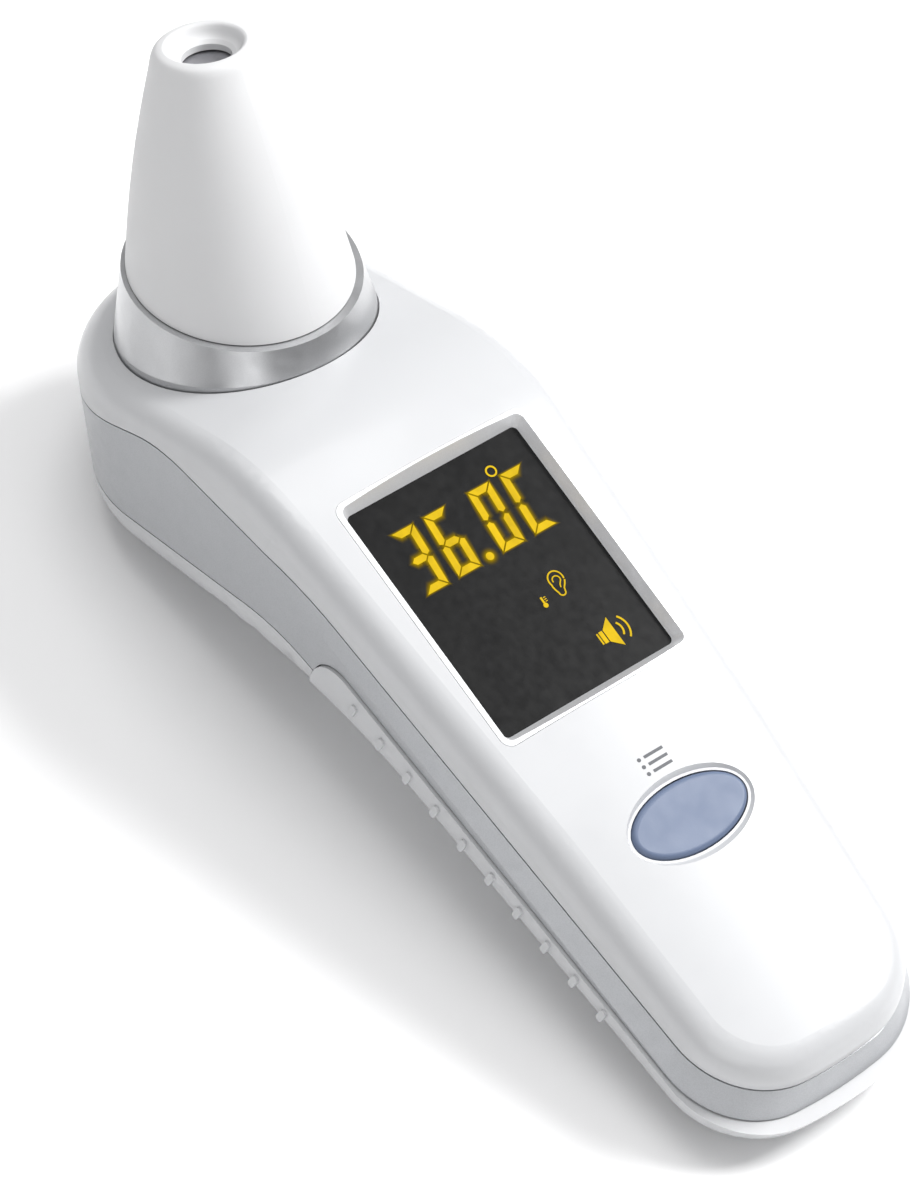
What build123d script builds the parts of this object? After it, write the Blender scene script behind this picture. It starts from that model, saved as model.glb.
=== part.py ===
from build123d import *
import os
from math import cos, radians, sin

os.makedirs("parts", exist_ok=True)

# ---------------------------------------------------------------- driving dimensions (mm, degrees)
REST_TILT = 13.2            # the deck slopes down to the tail when the thermometer lies on its back
DECK_X = 1.73               # display centre, from the middle of the footprint
DECK_Z = 32.8               # display centre, above the table
PROBE_TILT = 36.0           # probe axis leans towards the head, from the deck's normal
PROBE_U = -51.0             # probe axis where it leaves the face: along the handle
PROBE_H = -17.0             # and height from the deck

HALF_WIDTH = 22.4           # half of the widest part of the body
NECK_U = -20.0              # the handle starts to taper here
CROWN = 134.0               # radius of the crowned face, across the handle
FACE_ROUND = 4.2            # rounding between face and side
BACK_ROUND = 6.5            # rounding between side and underside
WALL = 1.7
GAP = 0.12                  # parting line between two shells, on each side of it
LEDGE_TOP = 6.9             # the band starts to lean outwards this far below the deck
LEDGE_LOW = 10.4            # and stands upright again here

FRONT_TAIL = (71.8, 16.6)   # end of the outline along the handle, half width near that end
BAND_TAIL = (74.0, 18.2)
COVER_TAIL = (75.6, 18.3)
TAIL_CORNER = 13.0
TAIL_BOW = 2.4              # how far the end of the tail bulges

COVER_FRONT = -6.0          # front end of the battery cover
COVER_PROUD = 0.35          # the cover stands this far out of the band
COVER_CORE_TAIL = (75.4, 18.0)
COVER_NARROWING = 0.0428    # the half width lost for each mm along the handle

WINDOW_LONG = 37.4          # display window, along the handle
WINDOW_WIDE = 30.6
BEZEL_WALL = 1.55
BEZEL_DEPTH = 2.4
LENS_THICK = 1.0

MEM_U = 37.2                # memory button
MEM_LONG = 4.55             # half axes of the oval cap: along the handle, across it
MEM_WIDE = 8.85
MEM_H = -0.27
BUTTON_GAP = 0.15

COLLAR_R = 17.0             # silver collar at the face
CAP_R = 14.7                # cap where it meets the collar
CAP_TIP_R = 7.3
CAP_TOP = 40.0              # height of the cap's rim above the face, along the probe axis
SEAM_TILT = 14.0            # the joint between cap and collar leans back towards the handle
SEAM_H = 7.7
APERTURE_R = 3.25
BARREL_R = 12.9             # inner barrel, which the cap slides over
SEAT_LOW = -4.2             # underside of the ring that carries the probe
COLLAR_FOOT = -1.5

TRIGGER_U = -32.0           # scan button, on the back under the head
TRIGGER_H = -37.3
SCAN_LONG = 5.0
SCAN_WIDE = 7.5
CASE_HEAD_TOP = -23.0       # seat of the case screws' heads
SCAN_SPOTS = [(0, -11.0), (0, 11.0)]

GRIP_COUNT = 10             # small ribs along each side of the cover
GRIP_FIRST = 1.5
GRIP_PITCH = 5.45
GRIP_H = -15.1
GRIP_LONG = 2.4
GRIP_WIDE = 1.0
GRIP_PROUD = 0.3
GRIP_ROOT = 1.0             # depth of the rib inside the cover's wall
GRIP_CLIMB = 0.045          # they rise towards the tail with the cover's edge

CELL_D = 10.5               # AAA cell
CELL_LONG = 43.6
CELL_NUB = 0.9
CELL_START = 20.5           # its flat end, along the handle
CELL_AXIS_H = -13.1
BAY_SLOPE = 3.7             # slope of the battery bay and of the underside, from the deck

# ---------------------------------------------------------------- working planes
lean = radians(REST_TILT)
deck = Plane(origin=(DECK_X, 0, DECK_Z), x_dir=(cos(lean), 0, -sin(lean)), z_dir=(sin(lean), 0, cos(lean)))
side = Plane(origin=deck.origin, x_dir=deck.x_dir, z_dir=(0, -1, 0))


def deck_point(u, y, h):
    """A point given along the handle, across it and up from the deck."""
    return deck.from_local_coords(Vector(u, y, h))


def leaning_plane(u, h, angle, y=0.0):
    """A plane at a point of the deck frame, leaning from the deck by an angle towards the head."""
    turn = radians(REST_TILT - angle)
    return Plane(
        origin=deck_point(u, y, h),
        x_dir=(cos(turn), 0, -sin(turn)),
        z_dir=(sin(turn), 0, cos(turn)),
    )


probe = leaning_plane(PROBE_U, PROBE_H, PROBE_TILT)


# ---------------------------------------------------------------- the body's outer form
FACE_PATH = [(100, -3.4), (32, 0), (-27.6, 0), (-95, -49.0)]
BACK_PATH = [(100, -15.3), (-5.1, -22.05), (-47.7, -46.2), (-100, -46.2)]
FACE_RADII = [120, 34]
BACK_RADII = [90, 25]
FAR = 60                    # reach of a cutting solid


def handle_plan(tail, half_tail, inset=0.0):
    """Outline of the handle, seen square to the deck."""
    half = HALF_WIDTH - inset
    end = tail - inset
    corner = end - TAIL_BOW
    near = half_tail - inset
    with BuildSketch() as plan:
        with BuildLine():
            Polyline(
                (corner, near),
                (NECK_U, half),
                (-90, half),
                (-90, -half),
                (NECK_U, -half),
                (corner, -near),
            )
            ThreePointArc((corner, -near), (end, 0), (corner, near))
        make_face()
        fillet(plan.vertices().group_by(Axis.X)[-1], TAIL_CORNER - inset)
    return plan.sketch


def head_plan(inset=0.0):
    """Outline of the head, seen along the probe axis."""
    half = HALF_WIDTH - inset
    with BuildSketch() as plan:
        with BuildLine():
            Polyline((0, half), (4, half), (4, -half), (0, -half))
            ThreePointArc((0, -half), (-half, 0), (0, half))
        make_face()
    return plan.sketch


def crowned_sweep(route, radii, shift, reach):
    """The solid on one side of a crowned surface that follows a route along the body."""
    drop = CROWN - (CROWN**2 - 34**2) ** 0.5
    if reach < 0:
        drop = -drop * 0.6
    with BuildPart() as block:
        with BuildLine(side) as spine:
            FilletPolyline(*route, radius=radii)
        start = Plane(origin=spine.line @ 0, x_dir=(0, -1, 0), z_dir=spine.line % 0)
        with BuildSketch(start):
            with BuildLine():
                ThreePointArc((-34, shift - drop), (0, shift), (34, shift - drop))
                Polyline((34, shift - drop), (34, reach), (-34, reach), (-34, shift - drop))
            make_face()
        sweep()
    return block.part


def hull(upper, lower, inset=0.0):
    """The body's closed form: handle and head, cut by the crowned face and the crowned underside."""
    with BuildPart() as block:
        with BuildSketch(deck.offset(12)):
            add(handle_plan(*upper, inset))
        extrude(amount=-12 - LEDGE_TOP)
        with BuildSketch(deck.offset(-LEDGE_TOP)):
            add(handle_plan(*upper, inset))
        with BuildSketch(deck.offset(-LEDGE_LOW)):
            add(handle_plan(*lower, inset))
        loft(ruled=True)
        with BuildSketch(deck.offset(-LEDGE_LOW)):
            add(handle_plan(*lower, inset))
        extrude(amount=-FAR)
        split(bisect_by=Plane(origin=probe.from_local_coords((2, 0, 0)), z_dir=probe.x_dir), keep=Keep.TOP)
        with BuildSketch(probe.offset(20)):
            add(head_plan(inset))
        extrude(amount=-80)
        add(crowned_sweep(FACE_PATH, FACE_RADII, -inset, FAR), mode=Mode.SUBTRACT)
        add(crowned_sweep(BACK_PATH, BACK_RADII, inset, -FAR), mode=Mode.SUBTRACT)
        top = [f for f in faces() if f.normal_at().dot(deck.z_dir) > 0.6 and not is_ledge(f)]
        fillet(outline_edges(top), FACE_ROUND - inset)
        bottom = [f for f in faces() if f.normal_at().dot(deck.z_dir) < -0.6]
        fillet(outline_edges(bottom), BACK_ROUND - inset)
    return block.part


def is_ledge(face):
    """True for the sloping faces of the band round the tail."""
    centre = deck.to_local_coords(face.center())
    return centre.X > 0 and centre.Z < -LEDGE_TOP


def outline_edges(patch):
    """The outer edges of a patch of faces: those that belong to one face only."""
    edges_of_patch = [e for f in patch for e in f.edges()]
    return [e for e in edges_of_patch if sum(e.is_same(o) for o in edges_of_patch) == 1]


def save(block, label):
    """Label a finished piece and write it."""
    block.part.label = label
    export_step(block.part, f"parts/{label}.step")


outer = hull(FRONT_TAIL, BAND_TAIL)
core = hull(FRONT_TAIL, BAND_TAIL, WALL)
cover_outer = hull(COVER_TAIL, COVER_TAIL, -COVER_PROUD)
cover_core = hull(COVER_CORE_TAIL, COVER_CORE_TAIL, WALL)
room = hull(FRONT_TAIL, BAND_TAIL, WALL + 0.3)

# ---------------------------------------------------------------- side views of the four shells
FACE_SEAM = [(100, -6.9), (-14, -6.9), (-40.5, -14.9), (-90, -60.0)]
FACE_SEAM_RADII = [50, 22]
COVER_EDGE_HEAD = -12.55    # height of the cover's upper edge at the display's centre
COVER_EDGE_TAIL = -9.85     # and at the end of the drawing
REAR_SEAM = [(COVER_FRONT, -17.6), (-14, -18.0), (-90, -62.4)]
NOTCH_R = 4.5


def shifted(points, shift):
    """The same outline points, moved up or down."""
    return [(u, h + shift) for u, h in points]


with BuildSketch(side) as front_region:
    with BuildLine() as seam:
        FilletPolyline(*shifted(FACE_SEAM, GAP), radius=FACE_SEAM_RADII)
        Polyline(seam.line @ 1, (-90, 40), (100, 40), seam.line @ 0)
    make_face()

with BuildSketch(side) as cover_region:
    with BuildLine():
        FilletPolyline(
            (COVER_FRONT + GAP, -70),
            (COVER_FRONT + GAP, COVER_EDGE_HEAD - GAP),
            (100, COVER_EDGE_TAIL - GAP),
            radius=NOTCH_R - GAP,
        )
        Polyline((100, COVER_EDGE_TAIL - GAP), (100, -70), (COVER_FRONT + GAP, -70))
    make_face()

with BuildSketch(side) as rear_region:
    with BuildLine() as seam:
        FilletPolyline(*shifted([(COVER_FRONT - GAP, -17.6)] + REAR_SEAM[1:], -GAP), radius=30)
        Polyline(seam.line @ 1, (-90, -90), (COVER_FRONT - GAP, -90), seam.line @ 0)
    make_face()

with BuildSketch(side) as band_region:
    with BuildLine() as upper:
        FilletPolyline(*shifted(FACE_SEAM, -GAP), radius=FACE_SEAM_RADII)
    with BuildLine() as lower:
        FilletPolyline(*shifted(REAR_SEAM, GAP), radius=30)
        FilletPolyline(
            lower.line @ 0,
            (COVER_FRONT, COVER_EDGE_HEAD + GAP),
            (100, COVER_EDGE_TAIL + GAP),
            radius=NOTCH_R,
        )
    with BuildLine() as ends:
        Line((100, -6.9 - GAP), (100, COVER_EDGE_TAIL + GAP))
        Line((-90, -60.0 - GAP), (-90, -62.4 + GAP))
    make_face(upper.edges() + lower.edges() + ends.edges())


def ellipse_bore(plane, half_long, half_wide, top, bottom):
    """An oval plug standing on a plane, for adding or cutting."""
    with BuildPart() as plug:
        with BuildSketch(plane.offset(bottom)):
            Ellipse(half_long, half_wide)
        extrude(amount=top - bottom)
    return plug.part


def plate(plane, size, bottom, thickness, corner=0.0, at=(0, 0)):
    """A flat plate parallel to a plane, with rounded corners."""
    with BuildPart() as slab:
        with BuildSketch(plane.offset(bottom)):
            with Locations(at):
                if corner:
                    RectangleRounded(size[0], size[1], corner)
                else:
                    Rectangle(*size)
        extrude(amount=thickness)
    return slab.part


def posts(plane, spots, radius, bottom, top):
    """Round posts on a plane, for bosses, holes and screws."""
    with BuildPart() as group:
        with BuildSketch(plane.offset(bottom)):
            with Locations(*spots):
                Circle(radius)
        extrude(amount=top - bottom)
    return group.part


mem = leaning_plane(MEM_U, MEM_H, -2.9)
trigger = leaning_plane(TRIGGER_U, TRIGGER_H, 209.5)

# ---------------------------------------------------------------- front shell
PROBE_SCREW_R = 14.65       # screws of the probe, on a circle round its axis
PROBE_SPOTS = [(PROBE_SCREW_R * cos(radians(a)), PROBE_SCREW_R * sin(radians(a))) for a in (0, 120, 240)]
BOARD_SPOTS = [(-22.4, -10), (-22.4, 10)]
KEY_SPOTS = [(0.6, -13.6), (0.6, 13.6)]
CASE_SPOTS = [(-14, -17.5), (-14, 17.5)]
TRAY_SPOTS = [(24, -15.3), (24, 15.3)]
BOSS_R = 1.9
CASE_BOSS_R = 2.4
BOARD_TOP = -6.1
BOARD_THICK = 1.0
KEY_TOP = -4.3              # in the memory button's own plane
CASE_JOIN = -15.0
TRAY_LUG_TOP = -9.6
PILOT_R = 0.82
CASE_PILOT_R = 1.02

with BuildPart() as front_shell:
    add(outer)
    add(core, mode=Mode.SUBTRACT)
    extrude(front_region.sketch, amount=40, both=True, mode=Mode.INTERSECT)
    # seat for the probe: a thick ring with a recess for the collar and a bore for the barrel
    with BuildPart(mode=Mode.PRIVATE) as seat:
        with BuildSketch(probe.offset(SEAT_LOW)):
            Circle(COLLAR_R + 1.5)
        extrude(amount=2.6)
        extrude(front_region.sketch, amount=40, both=True, mode=Mode.INTERSECT)
    add(seat.part)
    add(posts(probe, [(0, 0)], COLLAR_R + 0.2, COLLAR_FOOT, 12), mode=Mode.SUBTRACT)
    add(posts(probe, [(0, 0)], BARREL_R + 0.2, -12, 12), mode=Mode.SUBTRACT)
    add(posts(deck, BOARD_SPOTS, BOSS_R, BOARD_TOP, -2.2))
    add(posts(deck, BOARD_SPOTS, PILOT_R, BOARD_TOP, -2.6), mode=Mode.SUBTRACT)
    add(posts(mem, KEY_SPOTS, BOSS_R, KEY_TOP, -1.2))
    add(posts(mem, KEY_SPOTS, PILOT_R, KEY_TOP, -1.8), mode=Mode.SUBTRACT)
    add(posts(deck, CASE_SPOTS, CASE_BOSS_R, CASE_JOIN, -2.6))
    add(posts(deck, CASE_SPOTS, CASE_PILOT_R, CASE_JOIN, -6.0), mode=Mode.SUBTRACT)
    add(posts(deck, TRAY_SPOTS, CASE_BOSS_R, TRAY_LUG_TOP, -2.4))
    add(posts(deck, TRAY_SPOTS, CASE_PILOT_R, TRAY_LUG_TOP, -4.0), mode=Mode.SUBTRACT)
    add(plate(deck, (WINDOW_LONG + 0.1, WINDOW_WIDE + 0.1), -5, 10, 1.6), mode=Mode.SUBTRACT)
    with BuildSketch(mem.offset(0.3)):
        Ellipse(MEM_LONG + 1.4, MEM_WIDE + 1.4)
    with BuildSketch(mem.offset(-0.7)):
        Ellipse(MEM_LONG + 0.5, MEM_WIDE + 0.5)
    loft(mode=Mode.SUBTRACT)
    add(ellipse_bore(mem, MEM_LONG + BUTTON_GAP, MEM_WIDE + BUTTON_GAP, 3, -2.5), mode=Mode.SUBTRACT)
    add(posts(probe, PROBE_SPOTS, PILOT_R, -5, -1.8), mode=Mode.SUBTRACT)
save(front_shell, "front_shell")

# ---------------------------------------------------------------- side band
with BuildPart() as side_band:
    add(outer)
    add(core, mode=Mode.SUBTRACT)
    extrude(band_region.sketch, amount=40, both=True, mode=Mode.INTERSECT)
save(side_band, "side_band")

# ---------------------------------------------------------------- rear shell
with BuildPart() as rear_shell:
    add(outer)
    add(core, mode=Mode.SUBTRACT)
    extrude(rear_region.sketch, amount=40, both=True, mode=Mode.INTERSECT)
    with BuildPart(mode=Mode.PRIVATE) as rear_posts:
        add(posts(deck, CASE_SPOTS, CASE_BOSS_R + 0.4, -40, CASE_JOIN - 0.02))
        add(outer, mode=Mode.INTERSECT)
    add(rear_posts.part)
    add(posts(deck, CASE_SPOTS, 1.15, -40, -10), mode=Mode.SUBTRACT)
    add(posts(deck, CASE_SPOTS, 2.0, -40, CASE_HEAD_TOP), mode=Mode.SUBTRACT)
    add(ellipse_bore(trigger, SCAN_LONG + BUTTON_GAP, SCAN_WIDE + BUTTON_GAP, 5, -5), mode=Mode.SUBTRACT)
    split(bisect_by=Plane.XY, keep=Keep.TOP)
    add(posts(trigger, SCAN_SPOTS, BOSS_R, -6.0, -1.3))
    add(posts(trigger, SCAN_SPOTS, PILOT_R, -6.0, -2.4), mode=Mode.SUBTRACT)
save(rear_shell, "rear_shell")

# ---------------------------------------------------------------- battery cover
with BuildPart() as battery_cover:
    add(cover_outer)
    add(cover_core, mode=Mode.SUBTRACT)
    extrude(cover_region.sketch, amount=40, both=True, mode=Mode.INTERSECT)
    split(bisect_by=Plane.XY, keep=Keep.TOP)
    for index in range(GRIP_COUNT):
        along = index * GRIP_PITCH
        u = GRIP_FIRST + along
        half = HALF_WIDTH + COVER_PROUD - (u - NECK_U) * COVER_NARROWING
        for hand in (-1, 1):
            root = deck_point(u, hand * (half - GRIP_ROOT), GRIP_H + along * GRIP_CLIMB)
            with BuildSketch(Plane(origin=root, x_dir=deck.x_dir, z_dir=(0, hand, 0))):
                SlotOverall(GRIP_LONG, GRIP_WIDE, rotation=90)
            extrude(amount=GRIP_ROOT + GRIP_PROUD)
save(battery_cover, "battery_cover")

# ---------------------------------------------------------------- probe: collar, cap and inner barrel
seam_plane = Plane(
    origin=probe.from_local_coords((0, 0, SEAM_H)),
    x_dir=probe.y_dir,
    z_dir=leaning_plane(0, 0, PROBE_TILT - SEAM_TILT).z_dir,
)
probe_side = Plane(origin=probe.origin, x_dir=probe.x_dir, z_dir=(0, -1, 0))
probe_axis = Axis(probe.origin, probe.z_dir)
CAP_SHELL = 1.3

with BuildPart() as probe_collar:
    with BuildSketch(probe_side):
        with BuildLine():
            Polyline(
                (BARREL_R + 0.15, COLLAR_FOOT),
                (COLLAR_R, COLLAR_FOOT),
                (COLLAR_R, 0),
                (CAP_R - 0.1, 10.5),
            )
            Polyline(
                (CAP_R - 0.1, 10.5),
                (CAP_R - 0.1, 13),
                (BARREL_R + 0.15, 13),
                (BARREL_R + 0.15, COLLAR_FOOT),
            )
        make_face()
    revolve(axis=probe_axis)
    split(bisect_by=seam_plane, keep=Keep.BOTTOM)
save(probe_collar, "probe_collar")

with BuildPart() as probe_cap:
    with BuildSketch(probe_side):
        with BuildLine():
            Spline(
                (CAP_R + 0.9, 1.0),
                (12.3, 19.5),
                (CAP_TIP_R + 0.15, 37.2),
                tangents=[(-0.16, 1), (-0.32, 1)],
            )
            Spline((CAP_TIP_R + 0.15, 37.2), (6.2, CAP_TOP - 0.2), (5.35, CAP_TOP),
                   tangents=[(-0.32, 1), (-1, 0.1)])
            Spline((5.35, CAP_TOP), (4.6, 39.2), (APERTURE_R + 0.5, 38.4), tangents=[(-1, -0.1), (-1, -0.35)])
            Polyline((APERTURE_R + 0.5, 38.4), (APERTURE_R, 38.0), (APERTURE_R, 37.15), (6.05, 37.15))
            Spline((6.05, 37.15), (12.3 - CAP_SHELL, 19.0), (CAP_R - 0.55, 1.0))
            Line((CAP_R - 0.55, 1.0), (CAP_R + 0.9, 1.0))
        make_face()
    revolve(axis=probe_axis)
    split(bisect_by=seam_plane.offset(0.15), keep=Keep.TOP)
    add(posts(probe, [(0, 0)], BARREL_R + 0.25, 0, 9), mode=Mode.SUBTRACT)
save(probe_cap, "probe_cap")

with BuildPart() as probe_barrel:
    with BuildSketch(probe_side):
        with BuildLine():
            Polyline(
                (11.4, -7.0),
                (16.4, -7.0),
                (16.4, SEAT_LOW - 0.5),
                (BARREL_R, SEAT_LOW - 0.5),
                (BARREL_R, 9.0),
            )
            Polyline(
                (BARREL_R, 9.0),
                (10.45, 19.0),
                (5.7, 36.3),
                (4.3, 36.3),
                (9.0, 19.0),
                (11.4, 8.0),
                (11.4, -7.0),
            )
        make_face()
    revolve(axis=probe_axis)
    add(posts(probe, PROBE_SPOTS, 0.95, -9, -4), mode=Mode.SUBTRACT)
save(probe_barrel, "probe_barrel")

with BuildPart() as probe_gasket:
    with BuildSketch(probe.offset(SEAT_LOW - 0.48)):
        Circle(16.2)
        Circle(BARREL_R + 0.3, mode=Mode.SUBTRACT)
        with PolarLocations(PROBE_SCREW_R, 3):
            Circle(1.1, mode=Mode.SUBTRACT)
    extrude(amount=0.46)
save(probe_gasket, "probe_gasket")


def screws(plane, spots, shank_r, head_r, head_low, head_top, tip):
    """Pan-head screws with their heads at one end of their shanks; each has a cross slot."""
    step = 1 if tip > head_top else -1
    with BuildPart() as group:
        with BuildSketch(plane.offset(head_low)):
            with Locations(*spots):
                Circle(head_r)
        extrude(amount=head_top - head_low)
        with BuildSketch(plane.offset(head_top)):
            with Locations(*spots):
                Circle(shank_r)
        extrude(amount=tip - head_top)
        with BuildSketch(plane.offset(head_low)):
            with Locations(*spots):
                Rectangle(head_r * 1.2, 0.4)
                Rectangle(0.4, head_r * 1.2)
        extrude(amount=step * 0.4, mode=Mode.SUBTRACT)
    return group


probe_screws = screws(probe, PROBE_SPOTS, 0.8, 1.45, -8.2, -7.02, -1.9)
save(probe_screws, "probe_screws")


with BuildPart() as sensor_block:
    with BuildSketch(probe_side):
        with BuildLine():
            Polyline(
                (2.85, 5.9),
                (11.3, 5.9),
                (11.3, 7.4),
                (6.4, 7.4),
                (6.4, 19.0),
                (5.4, 20.0),
                (2.95, 20.0),
            )
            Polyline((2.95, 20.0), (2.95, 13.75), (2.85, 13.75), (2.85, 5.9))
        make_face()
    revolve(axis=probe_axis)
save(sensor_block, "sensor_block")

with BuildPart() as waveguide:
    with BuildSketch(probe_side):
        with BuildLine():
            Polyline(
                (2.45, 13.8),
                (2.9, 13.8),
                (2.9, 35.0),
                (3.9, 36.3),
                (3.4, 36.3),
                (2.45, 35.0),
                (2.45, 13.8),
            )
        make_face()
    revolve(axis=probe_axis)
save(waveguide, "waveguide")

with BuildPart() as sensor_window:
    with BuildSketch(probe.offset(36.35)):
        Circle(4.9)
    extrude(amount=0.45)
    chamfer(edges().group_by(Axis(probe.origin, probe.z_dir))[-1], 0.15)
save(sensor_window, "sensor_window")

with BuildPart() as thermopile_sensor:
    with BuildSketch(probe.offset(9.6)):
        Circle(2.75)
    extrude(amount=0.5)
    with BuildSketch(probe.offset(10.1)):
        Circle(2.35)
    extrude(amount=3.5)
    add(posts(probe, [(1.27, 0), (-1.27, 0), (0, 1.27), (0, -1.27)], 0.23, 5.3, 9.7))
save(thermopile_sensor, "thermopile_sensor")

with BuildPart() as sensor_board:
    add(posts(probe, [(0, 0)], 9.5, 4.5, 5.28))
save(sensor_board, "sensor_board")

RIBBON_WIDE = 5.0
RIBBON_THICK = 0.3
ribbon_fall = [(0, 0, 4.48), (0, 0, -11.5), (19.5, 0, -11.5)]
ribbon_points = [side.to_local_coords(probe.from_local_coords(spot)) for spot in ribbon_fall]
ribbon_route = [(point.X, point.Y) for point in ribbon_points] + [(-28.5, -6.6), (-25.32, -6.6)]
with BuildPart() as sensor_ribbon:
    with BuildSketch(side):
        with BuildLine():
            FilletPolyline(*ribbon_route, radius=[4.5, 4.0, 1.5])
        trace(line_width=RIBBON_THICK)
    extrude(amount=RIBBON_WIDE / 2, both=True)
save(sensor_ribbon, "sensor_ribbon")

# ---------------------------------------------------------------- display
with BuildPart() as display_bezel:
    add(plate(deck, (WINDOW_LONG, WINDOW_WIDE), -BEZEL_DEPTH, BEZEL_DEPTH + 2, 1.55))
    with BuildSketch(deck.offset(-BEZEL_DEPTH)):
        RectangleRounded(WINDOW_LONG - 2 * BEZEL_WALL, WINDOW_WIDE - 2 * BEZEL_WALL, 0.8)
    with BuildSketch(deck.offset(0.1)):
        RectangleRounded(WINDOW_LONG - 0.5, WINDOW_WIDE - 0.5, 1.3)
    loft(mode=Mode.SUBTRACT)
    add(plate(deck, (WINDOW_LONG, WINDOW_WIDE), 0.05, 5), mode=Mode.SUBTRACT)
    add(crowned_sweep(FACE_PATH, FACE_RADII, 0.05, FAR), mode=Mode.SUBTRACT)
save(display_bezel, "display_bezel")

LENS_LOW = -BEZEL_DEPTH - LENS_THICK - 0.02
with BuildPart() as display_lens:
    add(plate(deck, (35.8, 29.0), LENS_LOW, LENS_THICK, 1.0))
save(display_lens, "display_lens")

with BuildPart() as lcd_glass:
    add(plate(deck, (34.6, 27.8), -4.55, 1.08, 0.3))
save(lcd_glass, "lcd_glass")

with BuildPart() as light_guide:
    add(plate(deck, (31.6, 27.0), -5.75, 1.15, 0.3, at=(-1.4, 0)))
save(light_guide, "light_guide")

with BuildPart() as lcd_connector:
    add(plate(deck, (1.2, 25.0), -6.08, 1.5, at=(16.0, 0)))
save(lcd_connector, "lcd_connector")

with BuildPart() as lcd_frame:
    add(plate(deck, (36.6, 29.8), BOARD_TOP + 0.02, 2.6, 0.8))
    add(plate(deck, (34.8, 28.0), BOARD_TOP - 1, 5, 0.3), mode=Mode.SUBTRACT)
save(lcd_frame, "lcd_frame")

BOARD_LOW = BOARD_TOP - BOARD_THICK
with BuildPart() as main_board:
    add(plate(deck, (41.3, 29.0), BOARD_LOW, BOARD_THICK, 1.5, at=(-4.65, 0)))
    add(posts(deck, BOARD_SPOTS, 1.0, -9, -5), mode=Mode.SUBTRACT)
save(main_board, "main_board")

board_screws = screws(deck, BOARD_SPOTS, 0.8, 1.5, BOARD_LOW - 1.2, BOARD_LOW - 0.02, -2.9)
save(board_screws, "board_screws")

with BuildPart() as backlight_leds:
    with BuildSketch(deck.offset(-5.98)):
        with Locations((-18.9, -7), (-18.9, 7)):
            Rectangle(0.9, 2.6)
    extrude(amount=0.8)
    add(lcd_frame.part, mode=Mode.SUBTRACT)
save(backlight_leds, "backlight_leds")

# electronics under the main board
UNDER = BOARD_LOW - 0.02
with BuildPart() as microcontroller:
    add(plate(deck, (7, 7), UNDER - 1.1, 1.1, at=(7.0, 0)))
    with BuildSketch(deck.offset(UNDER - 0.25)):
        for turn in range(4):
            with Locations(Location((7.0, 0, 0), (0, 0, 90 * turn))):
                with GridLocations(1.0, 0.8, 1, 7):
                    with Locations((3.9, 0)):
                        Rectangle(1.0, 0.35)
    extrude(amount=0.25)
save(microcontroller, "microcontroller")

with BuildPart() as crystal:
    add(plate(deck, (3.2, 6.0), UNDER - 1.3, 1.3, 0.6, at=(-3.4, 9.4)))
save(crystal, "crystal")

with BuildPart() as piezo_buzzer:
    add(posts(deck, [(-9.5, -2.0)], 6.3, UNDER - 2.2, UNDER))
    add(posts(deck, [(-9.5, -2.0)], 1.2, UNDER - 3, UNDER - 1.2), mode=Mode.SUBTRACT)
save(piezo_buzzer, "piezo_buzzer")

with BuildPart() as capacitors:
    with BuildSketch(deck.offset(UNDER - 0.9)):
        with GridLocations(4.0, 2.6, 3, 2):
            with Locations((5.0, 10.6)):
                Rectangle(1.9, 1.1)
    extrude(amount=0.9)
save(capacitors, "capacitors")

with BuildPart() as resistors:
    with BuildSketch(deck.offset(UNDER - 0.5)):
        with GridLocations(2.6, 2.4, 5, 2):
            with Locations((2.0, -10.4)):
                Rectangle(1.5, 0.8)
    extrude(amount=0.5)
save(resistors, "resistors")

# ---------------------------------------------------------------- memory button
with BuildPart() as mem_button:
    with BuildSketch(mem.offset(-2.5)):
        Ellipse(MEM_LONG, MEM_WIDE)
    extrude(amount=2.2)
    fillet(faces().sort_by(Axis(mem.origin, mem.z_dir))[-1].edges(), 0.7)
    with BuildSketch(mem.offset(-2.9)):
        Ellipse(MEM_LONG + 0.8, MEM_WIDE + 0.8)
    extrude(amount=0.7)
    add(posts(mem, [(0, 0)], 1.4, -3.1, -2.6))
save(mem_button, "mem_button")

with BuildPart() as mem_switch:
    add(plate(mem, (4.5, 4.5), -4.28, 0.5, 0.3))
    add(posts(mem, [(0, 0)], 1.5, -3.9, -3.56))
save(mem_switch, "mem_switch")

with BuildPart() as key_board:
    add(plate(mem, (10, 30.4), KEY_TOP - 1.0, 0.98, 1.0))
    add(posts(mem, KEY_SPOTS, 1.0, -6, -4), mode=Mode.SUBTRACT)
save(key_board, "key_board")

key_screws = screws(mem, KEY_SPOTS, 0.8, 1.4, KEY_TOP - 2.2, KEY_TOP - 1.02, -2.1)
save(key_screws, "key_screws")

# ---------------------------------------------------------------- scan button (planes point outwards)
with BuildPart() as scan_button:
    with BuildSketch(trigger.offset(-2.6)):
        Ellipse(SCAN_LONG, SCAN_WIDE)
    extrude(amount=3.4)
    fillet(faces().sort_by(Axis(trigger.origin, trigger.z_dir))[-1].edges(), 0.9)
    with BuildSketch(trigger.offset(-3.6)):
        Ellipse(SCAN_LONG + 1.0, SCAN_WIDE + 1.0)
    extrude(amount=1.0)
    add(posts(trigger, [(0, 0)], 1.4, -4.0, -3.4))
save(scan_button, "scan_button")

with BuildPart() as scan_switch:
    add(plate(trigger, (4.5, 4.5), -6.0, 0.9, 0.3))
    add(posts(trigger, [(0, 0)], 1.5, -5.2, -4.6))
save(scan_switch, "scan_switch")

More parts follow.
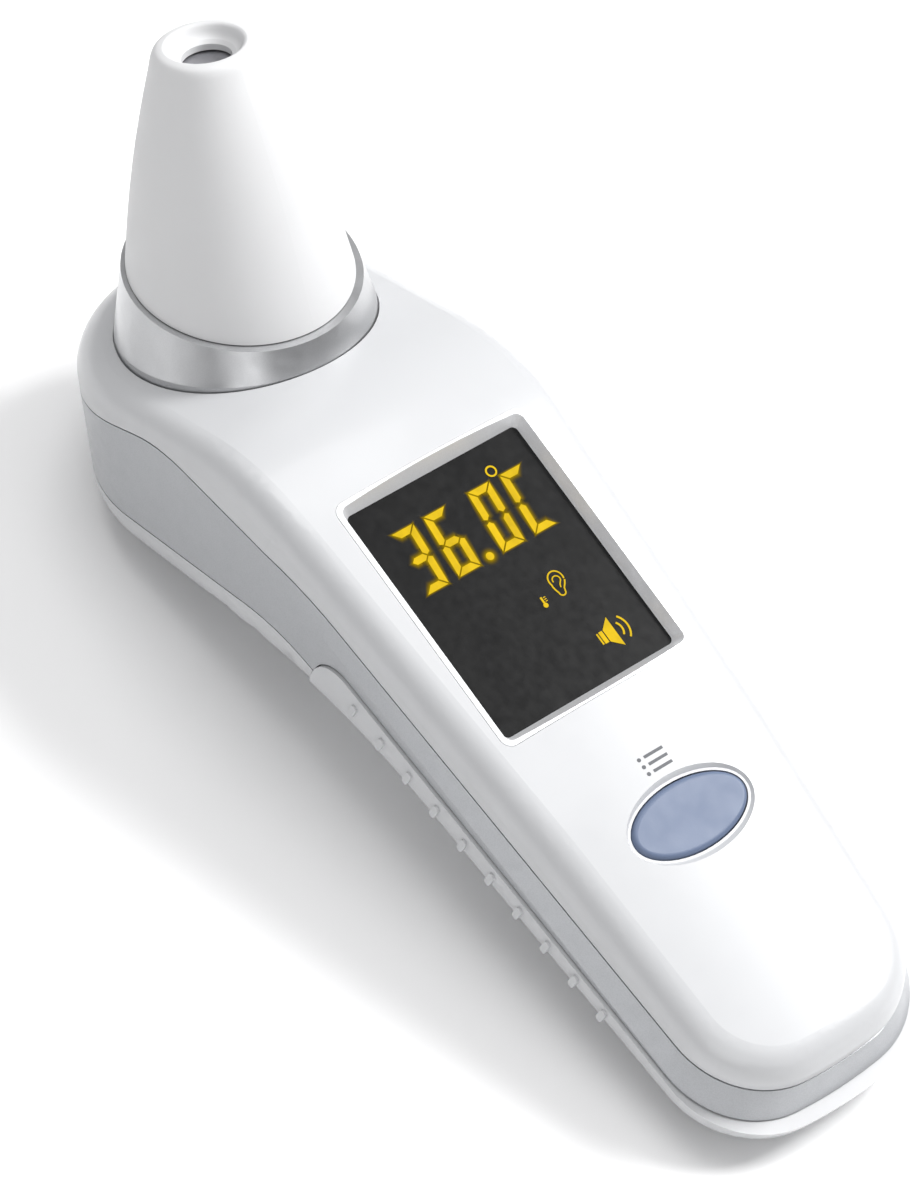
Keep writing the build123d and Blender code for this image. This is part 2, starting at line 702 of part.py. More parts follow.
with BuildPart() as scan_board:
    add(plate(trigger, (9.0, 25.0), -7.02, 1.0, 1.0))
    add(posts(trigger, SCAN_SPOTS, 1.0, -9, -5), mode=Mode.SUBTRACT)
save(scan_board, "scan_board")

scan_screws = screws(trigger, SCAN_SPOTS, 0.8, 1.4, -8.24, -7.04, -2.6)
save(scan_screws, "scan_screws")


case_screws = screws(deck, CASE_SPOTS, 1.0, 1.8, CASE_HEAD_TOP - 1.5, CASE_HEAD_TOP, -6.4)
save(case_screws, "case_screws")

# ---------------------------------------------------------------- battery bay
bay = leaning_plane(CELL_START, CELL_AXIS_H, BAY_SLOPE)
CELL_Y = CELL_D / 2 + 0.12
CELL_END = CELL_LONG + CELL_NUB
with BuildPart() as battery_tray:
    add(plate(bay, (51.4, 23.4), -1.5, 7.2, 0.8, at=(22.2, 0)))
    add(plate(deck, (4.6, 34.0), TRAY_LUG_TOP - 1.5, 1.48, 1.6, at=(24, 0)))
    with BuildSketch(Plane(origin=bay.from_local_coords((-2.7, 0, 0)), x_dir=(0, 1, 0), z_dir=bay.x_dir)):
        with Locations((-CELL_Y, 0), (CELL_Y, 0)):
            Circle(CELL_D / 2 + 0.1)
    extrude(amount=48.6, mode=Mode.SUBTRACT)
    add(plate(bay, (48.6, 21.6), -9, 9, at=(21.6, 0)), mode=Mode.SUBTRACT)
    add(posts(deck, TRAY_SPOTS, 1.15, -14, -8), mode=Mode.SUBTRACT)
    add(room, mode=Mode.INTERSECT)
save(battery_tray, "battery_tray")

tray_screws = screws(deck, TRAY_SPOTS, 1.0, 1.8, TRAY_LUG_TOP - 2.9, TRAY_LUG_TOP - 1.52, -5.0)
save(tray_screws, "tray_screws")

for hand, label in ((-1, "battery_cell_left"), (1, "battery_cell_right")):
    first = CELL_END if hand > 0 else 0.0
    run = Vector(bay.x_dir) * (-hand)
    cell_plane = Plane(origin=bay.from_local_coords((first, hand * CELL_Y, 0)), z_dir=run)
    with BuildPart() as cell:
        with BuildSketch(cell_plane):
            Circle(CELL_D / 2)
        extrude(amount=CELL_LONG)
        fillet(edges(), 0.5)
        with BuildSketch(cell_plane.offset(CELL_LONG)):
            Circle(1.9)
        extrude(amount=CELL_NUB)
    save(cell, label)

with BuildPart() as negative_spring:
    base = Plane(origin=bay.from_local_coords((-2.35, -CELL_Y, 0)), x_dir=(0, 1, 0), z_dir=bay.x_dir)
    with BuildSketch(base.offset(-0.3)):
        Rectangle(7.0, 7.0)
    extrude(amount=0.3)
    for turn in range(3):
        ring = base.offset(0.25 + turn * 0.72)
        with BuildSketch(ring):
            Circle(3.0 - turn * 0.35)
            Circle(2.3 - turn * 0.35, mode=Mode.SUBTRACT)
        extrude(amount=0.4)
        if turn:
            with BuildSketch(ring.offset(-0.4)):
                with Locations((2.5 - turn * 0.35, 0), (turn * 0.35 - 2.5, 0)):
                    Rectangle(0.5, 0.6)
            extrude(amount=0.45)
    with BuildSketch(base):
        with Locations((2.6, 0), (-2.6, 0)):
            Rectangle(0.5, 0.6)
    extrude(amount=0.3)
save(negative_spring, "negative_spring")

with BuildPart() as positive_contact:
    add(plate(bay, (0.35, 7.5), -3.0, 6.0, at=(-0.25, CELL_Y)))
    add(plate(bay, (2.3, 3.0), 2.6, 0.35, at=(-1.45, CELL_Y)))
save(positive_contact, "positive_contact")

with BuildPart() as bridge_contact:
    add(plate(bay, (0.35, 18.0), -4.0, 3.95, at=(CELL_END + 0.25, 0)))
save(bridge_contact, "bridge_contact")
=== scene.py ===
"""Ear thermometer: surfaces, display graphics, studio and camera."""
import math

import bmesh
import bpy
from mathutils import Matrix, Vector
from mathutils.bvhtree import BVHTree


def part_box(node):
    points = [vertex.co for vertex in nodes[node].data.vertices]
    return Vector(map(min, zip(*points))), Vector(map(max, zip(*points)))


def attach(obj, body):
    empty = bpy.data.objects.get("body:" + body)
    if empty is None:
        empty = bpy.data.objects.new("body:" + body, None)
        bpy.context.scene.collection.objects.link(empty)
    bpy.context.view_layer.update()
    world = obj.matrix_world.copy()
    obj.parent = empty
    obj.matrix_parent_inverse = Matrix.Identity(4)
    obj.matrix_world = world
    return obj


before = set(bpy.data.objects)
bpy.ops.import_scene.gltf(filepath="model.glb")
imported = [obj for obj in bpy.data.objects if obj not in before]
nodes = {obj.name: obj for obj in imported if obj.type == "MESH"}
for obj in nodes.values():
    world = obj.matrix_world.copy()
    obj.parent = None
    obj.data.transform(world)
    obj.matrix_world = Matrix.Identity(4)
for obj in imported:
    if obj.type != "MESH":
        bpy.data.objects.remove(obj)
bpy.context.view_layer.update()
MM = 0.001

# ------------------------------------------------------------ the display frame
# u runs from the middle of the body to the tail, y across it, and h up out of
# the plane that the display lies in, which leans 13.2 degrees to the tail.
DECK_COS = math.cos(math.radians(13.2))
DECK_SIN = math.sin(math.radians(13.2))
DECK_X = 1.73
DECK_Z = 32.8
LENS_TOP = -2.4
PLATE_THICK = 0.03
PLATE_LIFT = 0.02
GLOW_LIFT = 0.012
GLOW_REACH = 0.9
READING_LIGHT = 0.86
GLOW_LIGHT = 0.45
DECK_NORMAL = Vector((DECK_SIN, 0, DECK_COS))


def deck(u, y, h):
    """Row position in metres of a point given in the display frame in mm."""
    x = DECK_X + u * DECK_COS + h * DECK_SIN
    z = DECK_Z - u * DECK_SIN + h * DECK_COS
    return Vector((x, y, z)) * MM


# ------------------------------------------------------------ material helpers
def tree(name):
    """A new material with its node tree and its Principled shader."""
    material = bpy.data.materials.new(name)
    material.use_nodes = True
    links = material.node_tree
    return material, links, links.nodes["Principled BSDF"]


def noise(links, size_mm, detail=3.0, stretch=(1, 1, 1)):
    """Noise with features of about size_mm, fixed to the piece itself."""
    coordinates = links.nodes.new("ShaderNodeTexCoord")
    mapping = links.nodes.new("ShaderNodeMapping")
    mapping.inputs["Scale"].default_value = stretch
    texture = links.nodes.new("ShaderNodeTexNoise")
    texture.inputs["Scale"].default_value = 1.0 / (size_mm * MM)
    texture.inputs["Detail"].default_value = detail
    links.links.new(coordinates.outputs["Object"], mapping.inputs["Vector"])
    links.links.new(mapping.outputs["Vector"], texture.inputs["Vector"])
    return texture.outputs["Fac"]


def cells(links, size_mm, feature="F1"):
    """Cell pattern with cells of about size_mm."""
    coordinates = links.nodes.new("ShaderNodeTexCoord")
    texture = links.nodes.new("ShaderNodeTexVoronoi")
    texture.feature = feature
    texture.inputs["Scale"].default_value = 1.0 / (size_mm * MM)
    links.links.new(coordinates.outputs["Object"], texture.inputs["Vector"])
    return texture.outputs["Distance"]


def ramp(links, source, stops):
    """Colour ramp from a grey source. stops are (place, (r, g, b))."""
    node = links.nodes.new("ShaderNodeValToRGB")
    elements = node.color_ramp.elements
    while len(elements) < len(stops):
        elements.new(0.5)
    for element, (place, colour) in zip(elements, stops):
        element.position = place
        element.color = (*colour, 1)
    links.links.new(source, node.inputs["Fac"])
    return node.outputs["Color"]


def spread(links, source, low, high):
    """The noise's usual range, 0.3 to 0.7, mapped to low and high."""
    node = links.nodes.new("ShaderNodeMapRange")
    node.inputs["From Min"].default_value = 0.3
    node.inputs["From Max"].default_value = 0.7
    node.inputs["To Min"].default_value = low
    node.inputs["To Max"].default_value = high
    links.links.new(source, node.inputs["Value"])
    return node.outputs["Result"]


def bump(links, shader, source, height_mm, strength, before=None):
    """Adds a bump of height_mm to the shader, on top of an earlier one."""
    node = links.nodes.new("ShaderNodeBump")
    node.inputs["Distance"].default_value = height_mm * MM
    node.inputs["Strength"].default_value = strength
    links.links.new(source, node.inputs["Height"])
    if before is not None:
        links.links.new(before.outputs["Normal"], node.inputs["Normal"])
    links.links.new(node.outputs["Normal"], shader.inputs["Normal"])
    return node


def shade(colour, factor):
    """A colour made lighter or darker."""
    return tuple(min(1.0, channel * factor) for channel in colour)


def moulded(name, colour, rough, coat=0.0, grain_mm=0.35, grain=0.25, mottle=0.02, shine=0.5):
    """Moulded plastic: faint mottling, spark-eroded grain, broad sink marks."""
    material, links, shader = tree(name)
    broad = noise(links, 14.0, 2.0)
    fine = noise(links, grain_mm, 4.0)
    tone = ramp(links, broad, [(0.3, shade(colour, 1 - mottle)), (0.7, shade(colour, 1 + mottle))])
    links.links.new(tone, shader.inputs["Base Color"])
    links.links.new(spread(links, noise(links, 3.0), rough * 0.88, rough * 1.12), shader.inputs["Roughness"])
    shader.inputs["Coat Weight"].default_value = coat
    shader.inputs["Coat Roughness"].default_value = 0.12
    shader.inputs["Specular IOR Level"].default_value = shine
    waves = bump(links, shader, broad, 0.05, 0.25)
    bump(links, shader, fine, 0.006, grain, waves)
    return material


def lacquer(name, colour, rough, flake, metal):
    """Metallic lacquer over plastic: flakes of slightly different tone."""
    material, links, shader = tree(name)
    flakes = cells(links, 0.18)
    tone = ramp(links, flakes, [(0.15, shade(colour, 1 + flake)), (0.75, shade(colour, 1 - flake))])
    links.links.new(tone, shader.inputs["Base Color"])
    shader.inputs["Metallic"].default_value = metal
    links.links.new(spread(links, noise(links, 2.0), rough * 0.85, rough * 1.15), shader.inputs["Roughness"])
    shader.inputs["Coat Weight"].default_value = 0.35
    shader.inputs["Coat Roughness"].default_value = 0.2
    orange_peel = bump(links, shader, noise(links, 1.1, 2.0), 0.004, 0.3)
    bump(links, shader, flakes, 0.002, 0.35, orange_peel)
    return material


def machined(name, colour, rough, size_mm=0.25, stretch=(1, 1, 6)):
    """Bare metal with fine tool marks and slight tarnish."""
    material, links, shader = tree(name)
    marks = noise(links, size_mm, 5.0, stretch)
    tarnish = noise(links, 2.5, 3.0)
    tone = ramp(links, tarnish, [(0.35, shade(colour, 0.86)), (0.65, shade(colour, 1.06))])
    links.links.new(tone, shader.inputs["Base Color"])
    shader.inputs["Metallic"].default_value = 1.0
    links.links.new(spread(links, marks, rough * 0.7, rough * 1.3), shader.inputs["Roughness"])
    bump(links, shader, marks, 0.004, 0.4)
    return material


def circuit_board(name):
    """Solder mask over copper tracks, with the weave of the board under it."""
    material, links, shader = tree(name)
    tracks = cells(links, 1.6, "DISTANCE_TO_EDGE")
    tone = ramp(links, tracks, [(0.00, (0.055, 0.26, 0.12)), (0.06, (0.055, 0.26, 0.12)),
                                (0.09, (0.012, 0.12, 0.055)), (1.00, (0.016, 0.14, 0.06))])
    links.links.new(tone, shader.inputs["Base Color"])
    links.links.new(spread(links, noise(links, 0.6), 0.28, 0.42), shader.inputs["Roughness"])
    weave = bump(links, shader, noise(links, 0.25, 2.0, (1, 4, 1)), 0.006, 0.3)
    bump(links, shader, tracks, 0.02, 0.5, weave)
    return material


def lens(name):
    """Smoked window: near-black gloss with a trace of dust and swirl."""
    material, links, shader = tree(name)
    haze = noise(links, 9.0, 3.0, (1, 2.5, 1))
    tone = ramp(links, haze, [(0.3, (0.0085, 0.0085, 0.0088)), (0.7, (0.0112, 0.0112, 0.0112))])
    links.links.new(tone, shader.inputs["Base Color"])
    links.links.new(spread(links, noise(links, 1.2, 4.0), 0.20, 0.27), shader.inputs["Roughness"])
    shader.inputs["Specular IOR Level"].default_value = 0.12
    bump(links, shader, noise(links, 6.0, 2.0), 0.006, 0.15)
    return material


def glass(name, colour):
    """Thin tinted glass of a window or filter."""
    material, links, shader = tree(name)
    film = noise(links, 2.0, 3.0)
    links.links.new(ramp(links, film, [(0.3, shade(colour, 0.9)), (0.7, shade(colour, 1.15))]),
                    shader.inputs["Base Color"])
    links.links.new(spread(links, film, 0.06, 0.14), shader.inputs["Roughness"])
    return material


def cell_sleeve(name, node):
    """Battery sleeve with bare metal ends, banded along the cell."""
    low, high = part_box(node)
    material, links, shader = tree(name)
    coordinates = links.nodes.new("ShaderNodeTexCoord")
    split = links.nodes.new("ShaderNodeSeparateXYZ")
    along = links.nodes.new("ShaderNodeMapRange")
    along.inputs["From Min"].default_value = low[0]
    along.inputs["From Max"].default_value = high[0]
    links.links.new(coordinates.outputs["Object"], split.inputs["Vector"])
    links.links.new(split.outputs["X"], along.inputs["Value"])
    place = along.outputs["Result"]
    bare = (0.62, 0.60, 0.56)
    sleeve = (0.035, 0.10, 0.085)
    stripe = (0.46, 0.40, 0.20)
    tone = ramp(links, place, [(0.0, bare), (0.055, bare), (0.06, sleeve), (0.70, sleeve), (0.705, stripe),
                               (0.94, stripe), (0.945, bare), (1.0, bare)])
    links.links.new(tone, shader.inputs["Base Color"])
    metal = ramp(links, place, [(0.0, (1, 1, 1)), (0.055, (1, 1, 1)), (0.06, (0.1, 0.1, 0.1)),
                                (0.94, (0.1, 0.1, 0.1)), (0.945, (1, 1, 1)), (1.0, (1, 1, 1))])
    links.links.new(metal, shader.inputs["Metallic"])
    links.links.new(spread(links, noise(links, 3.0), 0.22, 0.34), shader.inputs["Roughness"])
    bump(links, shader, noise(links, 2.2, 2.0, (0.3, 1, 1)), 0.012, 0.25)
    return material


def printed(name, colour, rough=0.5):
    """Ink of a pad-printed mark, a little uneven."""
    material, links, shader = tree(name)
    ink = noise(links, 0.25, 4.0)
    links.links.new(ramp(links, ink, [(0.3, shade(colour, 0.85)), (0.7, shade(colour, 1.15))]),
                    shader.inputs["Base Color"])
    links.links.new(spread(links, ink, rough * 0.9, rough * 1.1), shader.inputs["Roughness"])
    bump(links, shader, ink, 0.004, 0.3)
    return material


def lit_segment(name, colour, strength):
    """Backlit segment: amber light, a little uneven as through a diffuser."""
    material, links, shader = tree(name)
    patch = noise(links, 2.2, 3.0)
    tone = ramp(links, patch, [(0.3, shade(colour, 0.86)), (0.7, shade(colour, 1.06))])
    dim = ramp(links, patch, [(0.3, shade(colour, 0.10)), (0.7, shade(colour, 0.16))])
    links.links.new(dim, shader.inputs["Base Color"])
    links.links.new(tone, shader.inputs["Emission Color"])
    shader.inputs["Emission Strength"].default_value = strength
    shader.inputs["Specular IOR Level"].default_value = 0.05
    links.links.new(spread(links, patch, 0.35, 0.5), shader.inputs["Roughness"])
    return material


def glow(name, colour, strength):
    """Halo round the lit segments, fading with the mesh's own falloff."""
    material = bpy.data.materials.new(name)
    material.use_nodes = True
    links = material.node_tree
    links.nodes.remove(links.nodes["Principled BSDF"])
    clear = links.nodes.new("ShaderNodeBsdfTransparent")
    light = links.nodes.new("ShaderNodeEmission")
    light.inputs["Strength"].default_value = strength
    patch = noise(links, 1.6, 3.0)
    links.links.new(ramp(links, patch, [(0.3, shade(colour, 0.85)), (0.7, colour)]), light.inputs["Color"])
    falloff = links.nodes.new("ShaderNodeAttribute")
    falloff.attribute_name = "falloff"
    curve = links.nodes.new("ShaderNodeMath")
    curve.operation = "POWER"
    curve.inputs[1].default_value = 2.2
    links.links.new(falloff.outputs["Fac"], curve.inputs[0])
    mixer = links.nodes.new("ShaderNodeMixShader")
    links.links.new(curve.outputs["Value"], mixer.inputs["Fac"])
    links.links.new(clear.outputs["BSDF"], mixer.inputs[1])
    links.links.new(light.outputs["Emission"], mixer.inputs[2])
    links.links.new(mixer.outputs["Shader"], links.nodes["Material Output"].inputs["Surface"])
    return material


# ------------------------------------------------------------ materials of the CAD pieces
AMBER = (0.84, 0.56, 0.008)
white_shell = moulded("white_shell", (0.565, 0.571, 0.583), 0.34, coat=0.25, grain_mm=0.30, grain=0.12,
                      mottle=0.008)
white_matte = moulded("white_matte", (0.68, 0.682, 0.688), 0.55, grain_mm=0.22, grain=0.45, mottle=0.010)
grey_plastic = moulded("grey_plastic", (0.30, 0.31, 0.33), 0.48, grain_mm=0.25, grain=0.4, mottle=0.04)
button_plastic = moulded("button_plastic", (0.125, 0.165, 0.260), 0.45, grain_mm=0.22, grain=0.35,
                         mottle=0.03)
rubber = moulded("rubber", (0.018, 0.018, 0.019), 0.7, grain_mm=0.2, grain=0.6, mottle=0.12, shine=0.3)
chip = moulded("chip", (0.016, 0.016, 0.018), 0.5, grain_mm=0.12, grain=0.6, mottle=0.1)
ceramic = moulded("ceramic", (0.36, 0.23, 0.12), 0.45, grain_mm=0.1, grain=0.4, mottle=0.08)
film = moulded("film", (0.45, 0.20, 0.035), 0.32, grain_mm=0.5, grain=0.2, mottle=0.08)
frosted = moulded("frosted", (0.74, 0.74, 0.68), 0.42, grain_mm=0.15, grain=0.4, mottle=0.02)
led = moulded("led", (0.85, 0.55, 0.06), 0.25, grain_mm=0.3, grain=0.15, mottle=0.05)
band_paint = lacquer("band_paint", (0.43, 0.44, 0.457), 0.38, flake=0.05, metal=0.5)
collar_metal = lacquer("collar_metal", (0.49, 0.495, 0.505), 0.34, flake=0.025, metal=0.85)
bezel_paint = lacquer("bezel_paint", (0.80, 0.805, 0.82), 0.36, flake=0.03, metal=0.30)
steel = machined("steel", (0.56, 0.56, 0.57), 0.32)
aluminium = machined("aluminium", (0.72, 0.73, 0.74), 0.28)
gold = machined("gold", (0.80, 0.56, 0.22), 0.18)
can = machined("can", (0.64, 0.63, 0.61), 0.2)
nickel = machined("nickel", (0.60, 0.57, 0.52), 0.26, stretch=(1, 6, 1))
board = circuit_board("board")
smoked = lens("smoked")
dark_glass = glass("dark_glass", (0.05, 0.05, 0.055))
filter_glass = glass("filter_glass", (0.20, 0.20, 0.215))

finishes = [
    (white_shell, ["front_shell", "rear_shell", "battery_cover"]),
    (band_paint, ["side_band"]),
    (collar_metal, ["probe_collar"]),
    (white_matte, ["probe_cap"]),
    (grey_plastic, ["probe_barrel", "lcd_frame", "battery_tray"]),
    (rubber, ["probe_gasket", "lcd_connector"]),
    (steel, ["probe_screws", "board_screws", "key_screws", "scan_screws", "case_screws", "tray_screws"]),
    (aluminium, ["sensor_block"]),
    (gold, ["waveguide"]),
    (filter_glass, ["sensor_window"]),
    (can, ["thermopile_sensor", "crystal", "mem_switch", "scan_switch"]),
    (board, ["sensor_board", "main_board", "key_board", "scan_board"]),
    (film, ["sensor_ribbon"]),
    (bezel_paint, ["display_bezel"]),
    (smoked, ["display_lens"]),
    (dark_glass, ["lcd_glass"]),
    (frosted, ["light_guide"]),
    (led, ["backlight_leds"]),
    (chip, ["microcontroller", "piezo_buzzer", "resistors"]),
    (ceramic, ["capacitors"]),
    (button_plastic, ["mem_button", "scan_button"]),
    (nickel, ["negative_spring", "positive_contact", "bridge_contact"]),
    (cell_sleeve("cell_left", "battery_cell_left"), ["battery_cell_left"]),
    (cell_sleeve("cell_right", "battery_cell_right"), ["battery_cell_right"]),
]
for finish, names in finishes:
    for name in names:
        piece = nodes[name]
        if not piece.material_slots:
            piece.data.materials.append(finish)
        for slot in piece.material_slots:
            slot.material = finish


# ------------------------------------------------------------ flat graphics as thin plates
def to_display(points):
    """Lower and upper outlines of a plate just above the window, from (right, up) in mm."""
    lower = [deck(-up, right, LENS_TOP + PLATE_LIFT) for right, up in points]
    upper = [deck(-up, right, LENS_TOP + PLATE_LIFT + PLATE_THICK) for right, up in points]
    return lower, upper


def plate(mesh, lower, upper):
    """Adds one closed plate between two matching outlines."""
    bottom = [mesh.verts.new(point) for point in lower]
    top = [mesh.verts.new(point) for point in upper]
    mesh.faces.new(top)
    mesh.faces.new(list(reversed(bottom)))
    for i in range(len(top)):
        j = (i + 1) % len(top)
        mesh.faces.new((bottom[i], bottom[j], top[j], top[i]))


def strip(points, width, closed=False):
    """Quads, each four (right, up) corners, along a line drawn at a width."""
    count = len(points)
    sides = []
    for i, (a, b) in enumerate(points):
        if closed:
            before = points[i - 1]
            after = points[(i + 1) % count]
        else:
            before = points[max(i - 1, 0)]
            after = points[min(i + 1, count - 1)]
        along = Vector((after[0] - before[0], after[1] - before[1])).normalized()
        across = Vector((-along.y, along.x)) * (width / 2)
        sides.append(((a + across.x, b + across.y), (a - across.x, b - across.y)))
    runs = count if closed else count - 1
    quads = []
    for i in range(runs):
        j = (i + 1) % count
        quads.append([sides[i][0], sides[j][0], sides[j][1], sides[i][1]])
    return quads


def arc(centre, radius, start, end, steps, squeeze=1.0):
    """Points along an arc, angles in degrees from the right, turning up."""
    points = []
    for i in range(steps + 1):
        angle = math.radians(start + (end - start) * i / steps)
        points.append((centre[0] + radius * squeeze * math.cos(angle), centre[1] + radius * math.sin(angle)))
    return points


def ring(centre, radius):
    """Twenty-four points round a circle."""
    return arc(centre, radius, 0, 345, 23)


def make_piece(name, mesh, finish):
    """Turns a bmesh into a piece of the body."""
    bmesh.ops.recalc_face_normals(mesh, faces=mesh.faces)
    data = bpy.data.meshes.new(name)
    mesh.to_mesh(data)
    mesh.free()
    piece = bpy.data.objects.new(name, data)
    bpy.context.scene.collection.objects.link(piece)
    data.materials.append(finish)
    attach(piece, "body")


# The reading, as slanted seven-segment figures.
DIGIT_HIGH = 8.9
DIGIT_WIDE = 3.5
STROKE = 0.95
GAP = 0.15
SLANT = 0.80
DIGIT_FOOT = 3.5


def segment_outlines():
    """The seven segments in the figure's own upright frame."""
    high, wide, thick, gap = DIGIT_HIGH, DIGIT_WIDE, STROKE, GAP
    half = high / 2
    mitre = thick / 2
    upper = [
        (0, high - gap),
        (thick, high - thick - gap),
        (thick, half + mitre + gap),
        (mitre, half + gap),
        (0, half + gap + thick / 4),
    ]
    top = [(gap, high), (wide - gap, high), (wide - thick - gap, high - thick), (thick + gap, high - thick)]
    middle = [
        (mitre + gap, half),
        (thick + gap, half + mitre),
        (wide - thick - gap, half + mitre),
        (wide - mitre - gap, half),
        (wide - thick - gap, half - mitre),
        (thick + gap, half - mitre),
    ]
    return {
        "top": top,
        "bottom": [(a, high - b) for a, b in top],
        "middle": middle,
        "upper_left": upper,
        "upper_right": [(wide - a, b) for a, b in upper],
        "lower_left": [(a, high - b) for a, b in upper],
        "lower_right": [(wide - a, high - b) for a, b in upper],
    }


def slanted(points, left):
    """Figure outline leaned to the right and set down on the display."""
    return [(left + a + SLANT * b / DIGIT_HIGH, DIGIT_FOOT + b) for a, b in points]


SEGMENTS = {
    "3": ("top", "upper_right", "middle", "lower_right", "bottom"),
    "6": ("top", "upper_left", "middle", "lower_left", "lower_right", "bottom"),
    "0": ("top", "upper_left", "upper_right", "lower_left", "lower_right", "bottom"),
    "C": ("top", "upper_left", "lower_left", "bottom"),
}
FIGURES = [("3", -10.75), ("6", -5.58), ("0", 1.60), ("C", 6.84)]

reading = []
outlines = segment_outlines()
for figure, left in FIGURES:
    for segment in SEGMENTS[figure]:
        reading.append(slanted(outlines[segment], left))
reading.append(ring((-0.30, 3.95), 0.55))
degree_ring = strip(ring((7.05, 13.40), 0.68), 0.24, closed=True)

# Ear, thermometer and loudspeaker signs below the reading.
# Each place is (right, up) from the middle of the window, in mm.
ear_line = arc((5.35, -2.75), 1.15, -20, 200, 22, squeeze=0.92)
ear_line += [(4.32, -3.45), (4.40, -3.95), (4.55, -4.45)]
ear_line += arc((5.02, -4.55), 0.47, 190, 330, 10)
ear_line += [(5.62, -4.20), (6.05, -3.75), (6.35, -3.30)]
signs = strip(ear_line, 0.20)
signs += strip(arc((5.35, -2.85), 0.55, -30, 190, 14), 0.17)
signs += strip([(5.82, -3.12), (5.42, -3.55), (5.25, -3.95)], 0.17)
signs += [arc((2.00, -5.00), 0.34, 0, 345, 19), [(1.86, -4.75), (2.14, -4.75), (2.14, -3.80), (1.86, -3.80)]]
for step in range(3):
    mark = -4.00 - 0.28 * step
    signs.append([(2.28, mark - 0.05), (2.62, mark - 0.05), (2.62, mark + 0.05), (2.28, mark + 0.05)])
signs.append([(5.25, -13.00), (5.48, -13.00), (5.48, -11.40), (5.25, -11.40)])
signs.append([(5.64, -13.05), (6.22, -13.05), (6.22, -11.35), (5.64, -11.35)])
signs.append([(6.40, -13.10), (7.85, -14.40), (7.85, -10.10), (6.40, -11.35)])
signs += strip(arc((7.55, -12.25), 1.35, -42, 42, 12), 0.26)
signs += strip(arc((7.55, -12.25), 2.25, -44, 44, 16), 0.26)

bright = bmesh.new()
for outline in reading + degree_ring + signs:
    plate(bright, *to_display(outline))
make_piece("display_reading", bright, lit_segment("lit_amber", AMBER, READING_LIGHT))


def halo(mesh, outline, reach, falloff):
    """A soft-edged skirt round an outline, 1 at the outline and 0 outside."""
    middle = Vector((sum(a for a, b in outline), sum(b for a, b in outline))) / len(outline)
    inner = []
    outer = []
    core = mesh.verts.new(deck(-middle.y, middle.x, LENS_TOP + GLOW_LIFT))
    core[falloff] = 1.0
    count = len(outline)
    for i, (a, b) in enumerate(outline):
        before = Vector(outline[i - 1])
        after = Vector(outline[(i + 1) % count])
        here = Vector((a, b))
        away = (here - before).normalized() + (here - after).normalized()
        if away.length < 0.2 or away.dot(here - middle) < 0:
            away = here - middle
        spot = here + away.normalized() * reach
        inside = mesh.verts.new(deck(-b, a, LENS_TOP + GLOW_LIFT))
        inside[falloff] = 1.0
        outside = mesh.verts.new(deck(-spot.y, spot.x, LENS_TOP + GLOW_LIFT))
        outside[falloff] = 0.0
        inner.append(inside)
        outer.append(outside)
    for i in range(count):
        j = (i + 1) % count
        mesh.faces.new((inner[i], inner[j], core))
        mesh.faces.new((outer[i], outer[j], inner[j], inner[i]))


soft = bmesh.new()
falloff_layer = soft.verts.layers.float.new("falloff")
for outline in reading:
    halo(soft, outline, GLOW_REACH, falloff_layer)
make_piece("display_glow", soft, glow("amber_halo", AMBER, GLOW_LIGHT))

# ------------------------------------------------------------ recall sign on the shell above the button
shell = nodes["front_shell"]
shell_points = [vertex.co.copy() for vertex in shell.data.vertices]
shell_faces = [tuple(face.vertices) for face in shell.data.polygons]
surface = BVHTree.FromPolygons(shell_points, shell_faces)


def on_shell(right, up, lift):
    """The point of the shell's outer skin over (right, up), lifted by mm."""
    start = deck(-up, right, 20)
    hit, normal, _, _ = surface.ray_cast(start, -DECK_NORMAL)
    return hit + normal * lift * MM


SIGN_MIDDLE = -29.3
ROW_PITCH = 1.05
DOT_AT = -1.75
DOT_RADIUS = 0.27
BAR_START = -0.95
BAR_LONG = 3.0
BAR_HALF = 0.2
BAR_SPANS = 6               # spans along a bar, so that it follows the crowned face

rows = []
for step in (-1, 0, 1):
    line = SIGN_MIDDLE + step * ROW_PITCH
    rows.append(ring((DOT_AT, line), DOT_RADIUS))
    places = [BAR_LONG * k / BAR_SPANS for k in range(BAR_SPANS + 1)]
    lower_side = [(BAR_START + place, line - BAR_HALF) for place in places]
    upper_side = [(BAR_START + BAR_LONG - place, line + BAR_HALF) for place in places]
    rows.append(lower_side + upper_side)
sign = bmesh.new()
for outline in rows:
    plate(sign, [on_shell(a, b, 0.004) for a, b in outline], [on_shell(a, b, 0.03) for a, b in outline])
make_piece("recall_sign", sign, printed("grey_ink", (0.085, 0.09, 0.10)))

# ------------------------------------------------------------ floor, lights and camera
floor_mesh = bmesh.new()
bmesh.ops.create_grid(floor_mesh, x_segments=8, y_segments=8, size=3.0)
floor_data = bpy.data.meshes.new("floor")
floor_mesh.to_mesh(floor_data)
floor_mesh.free()
floor = bpy.data.objects.new("floor", floor_data)
bpy.context.scene.collection.objects.link(floor)
floor.location.z = -0.0002
paper = moulded("floor_paper", (0.95, 0.95, 0.95), 0.75, grain_mm=0.8, grain=0.1, mottle=0.003, shine=0.15)
floor_data.materials.append(paper)

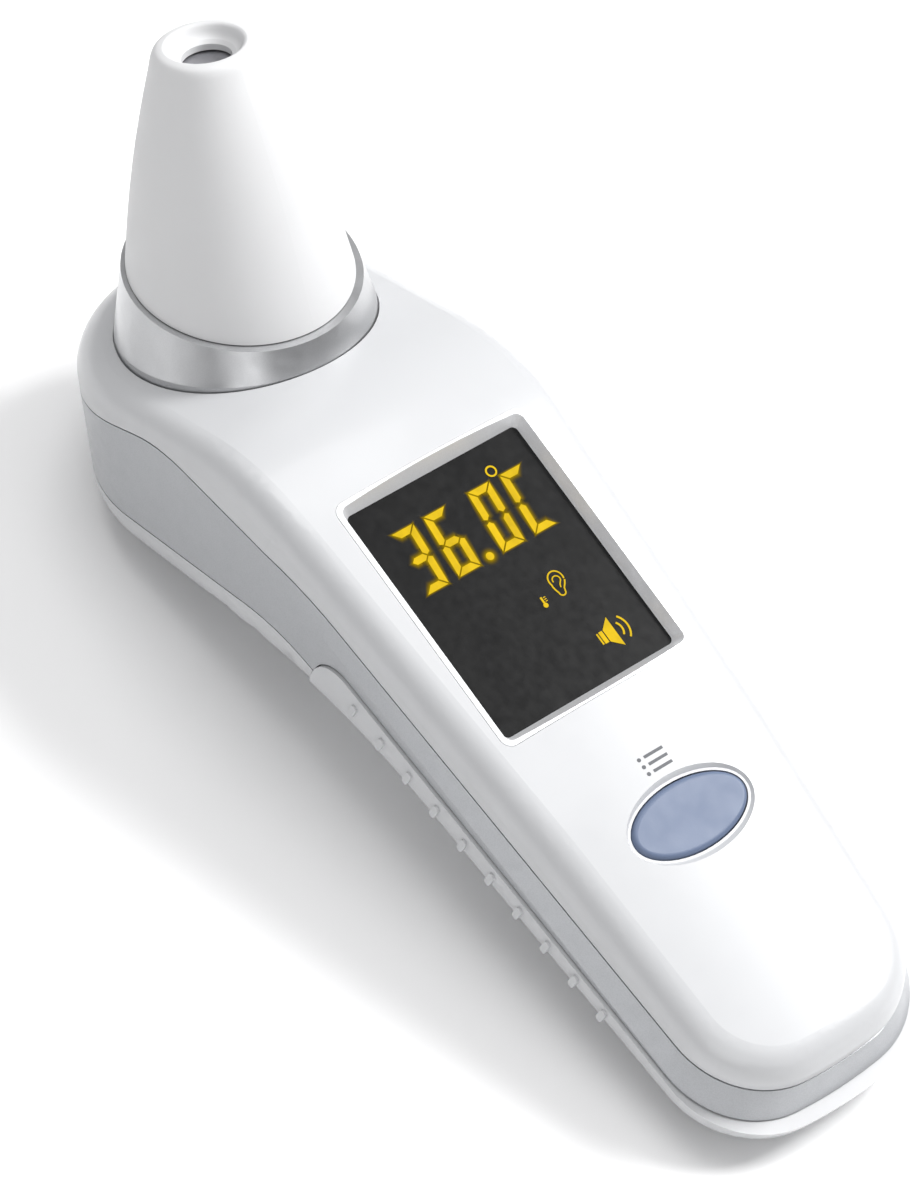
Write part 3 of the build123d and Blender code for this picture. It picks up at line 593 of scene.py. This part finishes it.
world = bpy.context.scene.world or bpy.data.worlds.new("world")
bpy.context.scene.world = world
world.use_nodes = True
sky = world.node_tree
background = sky.nodes["Background"]
direction = sky.nodes.new("ShaderNodeTexCoord")
height = sky.nodes.new("ShaderNodeSeparateXYZ")
sky.links.new(direction.outputs["Generated"], height.inputs["Vector"])
sky_stops = [(0.0, (0.42, 0.42, 0.43)), (0.35, (0.55, 0.55, 0.56)), (0.8, (0.95, 0.95, 0.96))]
sky_tone = ramp(sky, height.outputs["Z"], sky_stops)
sky.links.new(sky_tone, background.inputs["Color"])
background.inputs["Strength"].default_value = 0.50


def softbox(name, place, target, size, power):
    """A square area light aimed at a point."""
    light = bpy.data.lights.new(name, "AREA")
    light.shape = "RECTANGLE"
    light.size, light.size_y = size
    light.energy = power
    holder = bpy.data.objects.new(name, light)
    bpy.context.scene.collection.objects.link(holder)
    holder.location = place
    holder.rotation_euler = (Vector(target) - Vector(place)).to_track_quat("-Z", "Y").to_euler()


CENTRE = (0, 0, 0.03)
softbox("key", (0.16, 0.60, 0.66), CENTRE, (0.34, 0.28), 7.8)
softbox("top", (-0.30, 0.10, 0.95), CENTRE, (0.70, 0.70), 4.5)
softbox("front_fill", (0.55, -0.55, 0.35), CENTRE, (0.50, 0.40), 1.2)

LENS_MM = 170.1
SENSOR_MM = 36
CAMERA_PLACE = (0.27636, -0.3425, 0.5781)
AZIMUTH = math.radians(39.53)
ELEVATION = math.radians(51.585)
ROLL = math.radians(13.97)

camera_data = bpy.data.cameras.new("camera")
camera_data.lens = LENS_MM
camera_data.sensor_width = SENSOR_MM
camera_data.clip_start = 0.01
camera = bpy.data.objects.new("camera", camera_data)
bpy.context.scene.collection.objects.link(camera)
bpy.context.scene.camera = camera
side = Vector((math.cos(AZIMUTH), math.sin(AZIMUTH), 0))
level = math.cos(ELEVATION)
back = Vector((math.sin(AZIMUTH) * level, -math.cos(AZIMUTH) * level, math.sin(ELEVATION)))
rise = back.cross(side)
camera_x = side * math.cos(ROLL) + rise * math.sin(ROLL)
camera_y = rise * math.cos(ROLL) - side * math.sin(ROLL)
turn = Matrix((camera_x, camera_y, back)).transposed()
camera.matrix_world = Matrix.Translation(Vector(CAMERA_PLACE)) @ turn.to_4x4()

bpy.context.scene.view_settings.view_transform = "Standard"
